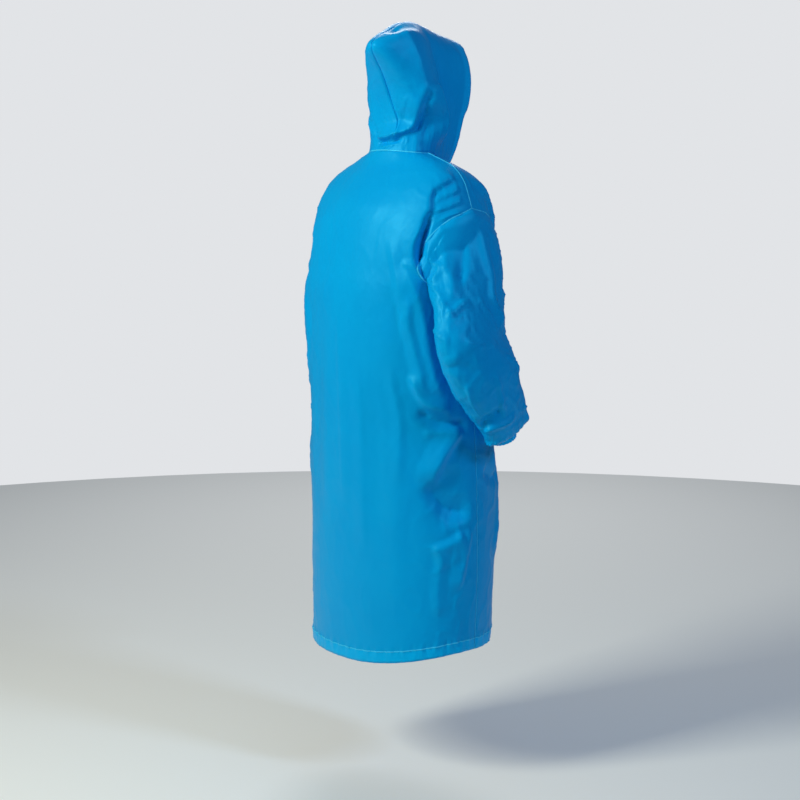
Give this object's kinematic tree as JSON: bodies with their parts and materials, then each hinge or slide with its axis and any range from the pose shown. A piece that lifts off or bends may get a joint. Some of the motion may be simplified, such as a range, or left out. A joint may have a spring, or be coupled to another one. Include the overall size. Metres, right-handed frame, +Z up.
{
  "type": "hooded raincoat",
  "caption": "Long hooded raincoat in clear blue film, hollow and in its worn shape, with set-in sleeves, gathered cuffs and a snap front.",
  "frame": {"origin": "middle of the neck opening, level with the inner ends of the shoulder seams", "axes": "+Z up, -Y is the coat's front, +X is the coat's own left side"},
  "size_m": [0.6787, 0.5082, 1.483],
  "materials": {
    "film": "satin",
    "snap": "gloss"
  },
  "bodies": {
    "root": {"back": "film", "front_right": "film", "front_left": "film", "sleeve_right": "film", "sleeve_left": "film", "cuff_right": "film", "cuff_left": "film", "hood_right": "film", "hood_left": "film", "snap_1": "snap", "snap_2": "snap", "snap_3": "snap", "snap_4": "snap", "snap_5": "snap", "snap_6": "snap"}
  },
  "joints": []
}
